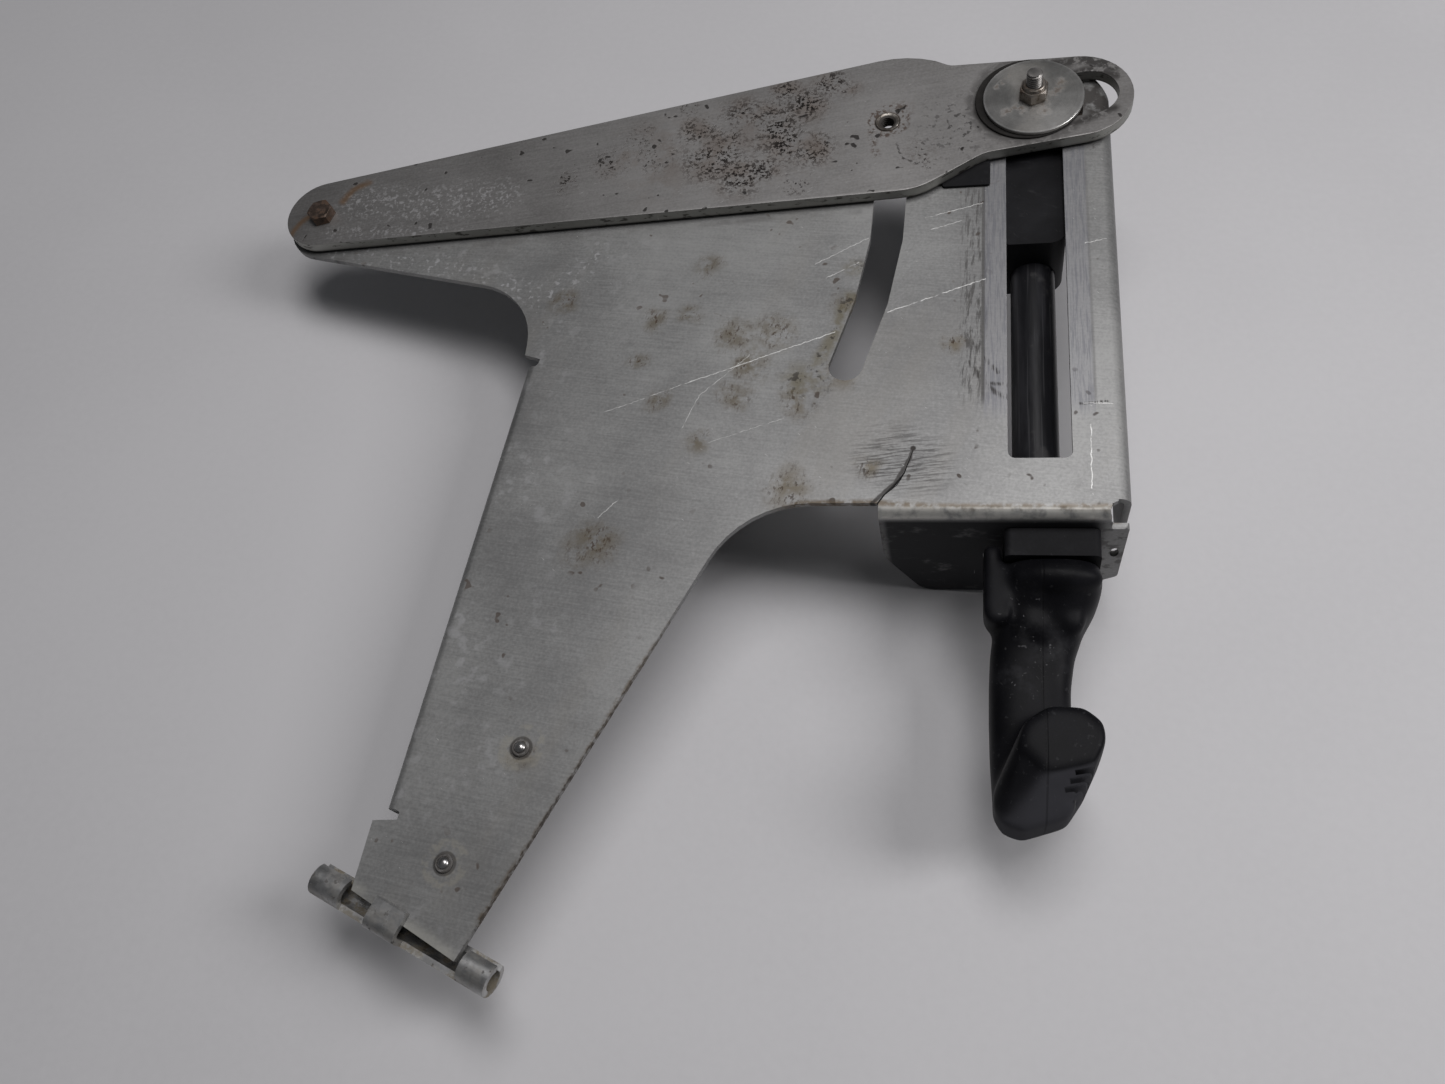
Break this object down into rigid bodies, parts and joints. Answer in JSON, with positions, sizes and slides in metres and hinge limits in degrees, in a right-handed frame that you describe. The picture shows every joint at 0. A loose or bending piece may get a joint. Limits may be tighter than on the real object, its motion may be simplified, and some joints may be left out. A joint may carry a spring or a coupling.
{
  "type": "gate opener arm",
  "caption": "Y-shaped folded sheet bracket with a pivoting slotted lever, driven by a pull grip whose rod slides a pin along the bracket's window, and a rolled hinge foot.",
  "frame": {"origin": "centre of the bounding box's underside, level with the front flange's lower edge", "axes": "+Z is square to the bracket's plate, up out of the face that carries the lever; +Y points away from the grip along the rod; +X runs from the lever's pivot towards its slotted end"},
  "size_m": [0.4584, 0.4836, 0.1081],
  "materials": {
    "bracket_sheet": "satin sheet, worn and lightly stained",
    "lever_plate": "satin plate with dark pitting and rust stains",
    "hinge_sheet": "dull sheet with grime in the knuckles",
    "fastener_steel": "semi-bright, browned in the corners",
    "disc_steel": "bright, smeared with brown grease",
    "rusty_bolt": "brown with rust",
    "black_plastic": "moulded, scuffed and dusty",
    "rod_sleeve": "smooth with a soft sheen",
    "black_rubber": "matte",
    "bush_plastic": "greasy off-white"
  },
  "bodies": {
    "bracket": {"bracket": "bracket_sheet", "hinge_leaf": "hinge_sheet", "rivet_1": "fastener_steel", "rivet_2": "fastener_steel", "pivot_bolt": "rusty_bolt", "pivot_nut": "fastener_steel", "pivot_nut_washer": "fastener_steel", "pivot_spacer": "fastener_steel"},
    "lever": {"lever": "lever_plate", "threaded_insert": "fastener_steel", "glide_pad": "black_plastic"},
    "slider": {"grip_left_half": "black_plastic", "grip_right_half": "black_plastic", "end_buffer": "black_rubber", "rod_sleeve": "rod_sleeve", "carrier": "black_plastic", "slide_stud": "fastener_steel", "slot_roller": "bush_plastic", "bracket_washer": "disc_steel", "rub_washer": "bush_plastic", "disc_washer": "disc_steel", "disc_nut": "fastener_steel"}
  },
  "joints": [
    {"name": "grip_slide", "type": "slide", "parent": "bracket", "child": "slider", "axis": [0, -1, 0], "range_m": [0, 0.147]},
    {"name": "lever_pivot", "type": "hinge", "parent": "bracket", "child": "lever", "pos_m": [-0.20676, 0.15521, 0.0868], "axis": [0, 0, 1], "range_deg": [-21.45, 0]}
  ],
  "couplings": [
    {"joint": "lever_pivot", "follows": "grip_slide", "rad_per_m": -2.5449}
  ]
}
